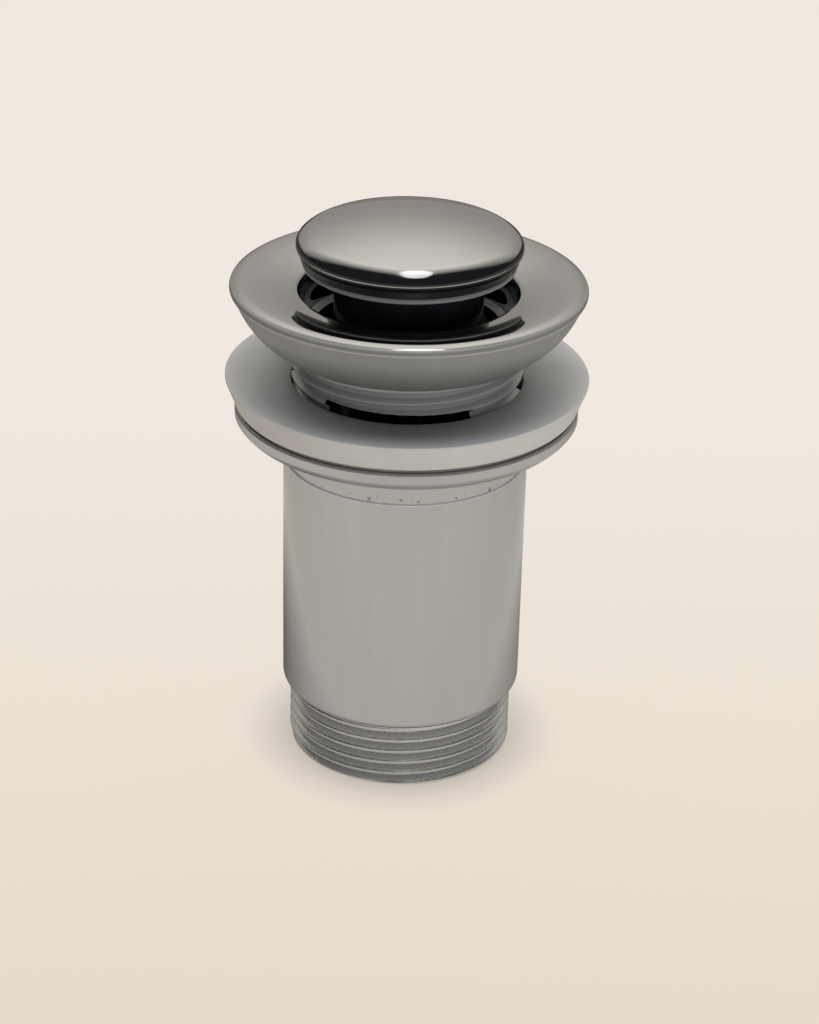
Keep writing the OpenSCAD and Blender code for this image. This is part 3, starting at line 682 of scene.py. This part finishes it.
# Seal: moulded black rubber ring, tapered as the throat is, stretched over the cap's spigot.
# It closes the throat when the plug is pressed down.
seal_bore, seal_top = 15.462, 98.4
seal_line = rounded([
    (seal_bore, plate_top, 0.1), (19.012, plate_top, 0.1), (19.362, 96.85, 0.12), (19.722, 98.05, 0.12),
    (19.372, seal_top, 0.1), (seal_bore, seal_top, 0.1),
])
seal = make_piece("rubber_plug_seal", turned_mesh("seal", seal_line), [black_rubber])
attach(seal, "plug")
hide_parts("plug_seal")


# Cap: turned brass dome with a soft shoulder and a rounded edge, polished and chrome plated.
# A boss in its hollow takes the stud, and the seal sits on the spigot under it.
cap_r, cap_foot, foot_round, edge_z = 20.25, 98.4, 0.7, 99.3
edge_round, shoulder, shoulder_turn, dome_turn = 1.9, 6.0, 47.0, 71.5
spigot_r, hollow_r, boss_r, stud_hole_r, spigot_foot = 15.432, 13.032, 4.6, 2.53, 96.5
turn, low_turn = math.radians(shoulder_turn), math.radians(90 - dome_turn)
shoulder_at = (cap_r - edge_round + (edge_round - shoulder) * math.cos(turn),
               edge_z + (edge_round - shoulder) * math.sin(turn))
dome_r = (shoulder_at[0] + shoulder * math.sin(low_turn)) / math.sin(low_turn)
dome_z = shoulder_at[1] + (shoulder - dome_r) * math.cos(low_turn)
hollow_z = dome_z + math.sqrt(dome_r ** 2 - hollow_r ** 2) - 2.4
cap_line = [(0.0, hollow_z), (stud_hole_r, hollow_z), (stud_hole_r, spigot_foot), (boss_r, spigot_foot),
            (boss_r, hollow_z), (hollow_r, hollow_z), (hollow_r, spigot_foot), (spigot_r, spigot_foot),
            (spigot_r, cap_foot), (cap_r - foot_round - 0.1, cap_foot)]
cap_line += bend_points((cap_r - foot_round, cap_foot + foot_round), foot_round, -90, 0, 10)
cap_line += bend_points((cap_r - edge_round, edge_z), edge_round, 0, shoulder_turn, 14)
cap_line += bend_points(shoulder_at, shoulder, shoulder_turn, dome_turn, 14)[1:]
for k in range(1, 41):
    a = low_turn * (1 - k / 40)
    cap_line.append((dome_r * math.sin(a), dome_z + dome_r * math.cos(a)))
cap_plate = chrome_plate("polished cap chrome", 0.08)
cap_mesh = turned_mesh("cap", cap_line, closed=False)
# Painted reflection: the foot rounding's chrome is painted nearly black, a painted dark reflection.
painted_dark_foot_plate, shader = new_finish("cap foot painted dark", {"Metallic": 1.0})
join(painted_dark_foot_plate, shades(painted_dark_foot_plate, grain(painted_dark_foot_plate, 300, 3, (1, 1, 6)), (0.3, 0.11, 0.113, 0.115),
                        (0.7, 0.14, 0.144, 0.146)), shader, "Base Color")
join(painted_dark_foot_plate, between(painted_dark_foot_plate, grain(painted_dark_foot_plate, 900), 0.38, 0.5), shader, "Roughness")
join(painted_dark_foot_plate, relief(painted_dark_foot_plate, grain(painted_dark_foot_plate, 1200, 3, (1, 1, 4)), 0.2, 0.00002), shader, "Normal")
# The foot rounding takes the chrome with the painted dark reflection.
for face in cap_mesh.polygons:
    face.material_index = int(face.center.z < (cap_foot + foot_round * 1.1) / 1000)
cap = make_piece("chrome_plug_cap", cap_mesh, [cap_plate, painted_dark_foot_plate])
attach(cap, "plug")
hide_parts("plug_cap")


# Floor: one wide pale sheet that the waste stands on, warmer towards the front.
# To the eye it is nearly all self-lit, with a painted contact shade at the waste's foot. To mirrored rays it is
# another, painted floor: painted light on a table round the waste, a painted shadow behind it, dim beyond its
# edge and grey far behind.
floor_mesh = bpy.data.meshes.new("studio_floor")
floor_mesh.from_pydata([(-3, -3, 0), (3, -3, 0), (3, 3, 0), (-3, 3, 0)], [], [(0, 1, 2, 3)])
floor = bpy.data.objects.new("studio_floor", floor_mesh)
bpy.context.scene.collection.objects.link(floor)
floor_paint = bpy.data.materials.new("pale floor")
floor_paint.use_nodes = True
nodes, links = floor_paint.node_tree.nodes, floor_paint.node_tree.links
nodes.remove(nodes["Principled BSDF"])
ray = nodes.new("ShaderNodeLightPath").outputs
depth = nodes.new("ShaderNodeSeparateXYZ")
links.new(nodes.new("ShaderNodeTexCoord").outputs["Object"], depth.inputs[0])
colour = shades(floor_paint, between(floor_paint, depth.outputs["Y"], 0, 1, -0.1, 0.4),
                (0.0, 0.789, 0.697, 0.586), (0.148, 0.823, 0.738, 0.651), (0.396, 0.863, 0.799, 0.716),
                (0.506, 0.884, 0.820, 0.746), (1.0, 0.880, 0.815, 0.742))


def either(paint, switch, first, second):
    """The first colour, or the second as the switch goes from 0 to 1."""
    choice = paint.node_tree.nodes.new("ShaderNodeMix")
    choice.data_type = "RGBA"
    for value, socket in ((switch, "Factor"), (first, "A"), (second, "B")):
        if isinstance(value, tuple):
            choice.inputs[socket].default_value = (*value, 1)
        else:
            paint.node_tree.links.new(value, choice.inputs[socket])
    return choice.outputs["Result"]


far_out = nodes.new("ShaderNodeVectorMath")
far_out.operation = "LENGTH"
links.new(depth.inputs[0].links[0].from_socket, far_out.inputs[0])
fade = between(floor_paint, far_out.outputs["Value"], 0, 1, 0.6, 2.0)
colour = either(floor_paint, fade, colour, (0.888, 0.832, 0.753))
# Painted light: the mirrored floor's colour, bright round the front and darker far behind, stands in for how the
# table is lit.
painted_lit_floor = shades(floor_paint, between(floor_paint, depth.outputs["Y"], 0, 1, -0.3, 0.3),
             (0.0, 0.80, 0.745, 0.68), (0.35, 0.88, 0.815, 0.745), (0.55, 0.78, 0.725, 0.66),
             (0.65, 0.64, 0.595, 0.545), (0.73, 0.30, 0.28, 0.255), (1.0, 0.28, 0.26, 0.235))
# Painted shadow: the waste's shadow behind it, darkening the mirrored floor with distance from a point behind
# the waste.
from_shade = nodes.new("ShaderNodeVectorMath")
from_shade.operation = "DISTANCE"
from_shade.inputs[1].default_value = (-0.006, 0.036, 0)
links.new(depth.inputs[0].links[0].from_socket, from_shade.inputs[0])
painted_shadow_fade = between(floor_paint, from_shade.outputs["Value"], 0.25, 1, 0.032, 0.073)
painted_lit_floor = either(floor_paint, painted_shadow_fade, (0.0, 0.0, 0.0), painted_lit_floor)
# Painted light: a mask for the lit table round the waste and a strip behind it; outside it the mirrored floor is
# painted dim.
beside = nodes.new("ShaderNodeMath")
beside.operation = "ABSOLUTE"
links.new(depth.outputs["X"], beside.inputs[0])
back = nodes.new("ShaderNodeMath")
back.operation = "MULTIPLY_ADD"
back.inputs[1].default_value = -4
links.new(beside.outputs[0], back.inputs[0])
links.new(depth.outputs["Y"], back.inputs[2])
painted_light_mask = nodes.new("ShaderNodeMath")
painted_light_mask.operation = "MAXIMUM"
links.new(between(floor_paint, far_out.outputs["Value"], 1, 0, 0.23, 0.3), painted_light_mask.inputs[0])
links.new(between(floor_paint, back.outputs[0], 0, 1, 0.4, 0.5), painted_light_mask.inputs[1])
mirrored = either(floor_paint, painted_light_mask.outputs[0], (0.08, 0.075, 0.07), painted_lit_floor)
touch = nodes.new("ShaderNodeAmbientOcclusion")
touch.inputs["Distance"].default_value = 0.012
contact = between(floor_paint, touch.outputs["AO"], 0.35, 1, 0, 1)
shown = either(floor_paint, contact, (0.0, 0.0, 0.0), colour)
matt = nodes.new("ShaderNodeBsdfDiffuse")
links.new(colour, matt.inputs["Color"])
glow = nodes.new("ShaderNodeEmission")
links.new(either(floor_paint, ray["Is Glossy Ray"], shown, mirrored), glow.inputs["Color"])
seen = nodes.new("ShaderNodeMath")
seen.operation = "MULTIPLY_ADD"
seen.inputs[1].default_value = 0.97
links.new(ray["Is Camera Ray"], seen.inputs[0])
links.new(ray["Is Glossy Ray"], seen.inputs[2])
mix = nodes.new("ShaderNodeMixShader")
links.new(seen.outputs[0], mix.inputs[0])
links.new(matt.outputs[0], mix.inputs[1])
links.new(glow.outputs[0], mix.inputs[2])
links.new(mix.outputs[0], nodes["Material Output"].inputs["Surface"])
floor_mesh.materials.append(floor_paint)


# Studio light: a soft box overhead and a fill in front, both hidden from the metal, and a strip that it mirrors.
# To the camera the room is the floor's plain pale colour. The metal mirrors another room: cream behind and
# brighter towards its ceiling, dark at the sides and in front.
soft_box = bpy.data.lights.new("overhead soft box", "AREA")
soft_box.shape = "RECTANGLE"
soft_box.size, soft_box.size_y = 1.4, 0.7
soft_box.energy = 8.0
lamp = bpy.data.objects.new("overhead_soft_box", soft_box)
lamp.matrix_world = Matrix.Translation((0, 0.05, 1.1))
lamp.visible_glossy = False
bpy.context.scene.collection.objects.link(lamp)
strip = bpy.data.lights.new("overhead strip", "AREA")
strip.shape = "ELLIPSE"
strip.size, strip.size_y = 0.31, 0.55
strip.energy = 0.62
tube_lamp = bpy.data.objects.new("overhead_strip", strip)
tube_lamp.matrix_world = Matrix.Translation((0.065, -0.075, 1.12))
bpy.context.scene.collection.objects.link(tube_lamp)
fill = bpy.data.lights.new("front fill", "AREA")
fill.size = 0.4
fill.energy = 5.0
fill_at, fill_to = Vector((0.4, -1.13, 0.22)), Vector((0, 0, 0.07))
front = bpy.data.objects.new("front_fill", fill)
fill_aim = (fill_to - fill_at).to_track_quat("-Z", "Y").to_matrix().to_4x4()
front.matrix_world = Matrix.Translation(fill_at) @ fill_aim
front.visible_glossy = False
bpy.context.scene.collection.objects.link(front)
world = bpy.data.worlds.new("studio room")
bpy.context.scene.world = world
world.use_nodes = True
nodes, links = world.node_tree.nodes, world.node_tree.links
room = nodes["Background"]
room.inputs["Strength"].default_value = 1.4
way = nodes.new("ShaderNodeSeparateXYZ")
links.new(nodes.new("ShaderNodeTexCoord").outputs["Generated"], way.inputs[0])
aside = nodes.new("ShaderNodeMath")
aside.operation = "ABSOLUTE"
links.new(way.outputs["X"], aside.inputs[0])
wedge = nodes.new("ShaderNodeMath")
wedge.operation = "MULTIPLY_ADD"
links.new(aside.outputs[0], wedge.inputs[0])
links.new(between(world, way.outputs["Z"], -4, -0.8, -0.15, 0.15), wedge.inputs[1])
links.new(way.outputs["Y"], wedge.inputs[2])
behind = between(world, wedge.outputs[0], 0, 1, -0.28, 0.22)
lift = between(world, way.outputs["Z"], 0, 1, -0.3, 1.0)
pale = shades(world, lift, (0.0, 0.26, 0.242, 0.221), (0.31, 0.295, 0.274, 0.25),
              (0.49, 0.40, 0.372, 0.34), (0.64, 0.565, 0.525, 0.479),
              (0.84, 0.87, 0.81, 0.74), (0.91, 0.94, 0.875, 0.80), (1.0, 0.97, 0.90, 0.825))
unlit = either(world, behind, (0.014, 0.0145, 0.0155), pale)
seen = nodes.new("ShaderNodeLightPath").outputs["Is Camera Ray"]
links.new(either(world, seen, unlit, (0.634, 0.594, 0.538)), room.inputs["Color"])


# Camera: where the photograph was taken from, a little rolled, with a long lens.
# It is meant for a frame of 819 by 1024, which is not set here, and the sensor's width is the long side.
view = bpy.data.cameras.new("photo_camera")
view.sensor_width = 36
view.lens = 94.317
camera = bpy.data.objects.new("photo_camera", view)
camera_at, camera_tilt, camera_roll = (0.001048, -0.4448, 0.26989), 26.676, 1.394
camera.matrix_world = (
    Matrix.Translation(camera_at)
    @ Matrix.Rotation(math.radians(90 - camera_tilt), 4, "X")
    @ Matrix.Rotation(math.radians(camera_roll), 4, "Z")
)
bpy.context.scene.collection.objects.link(camera)
bpy.context.scene.camera = camera
bpy.context.scene.view_settings.view_transform = "Standard"
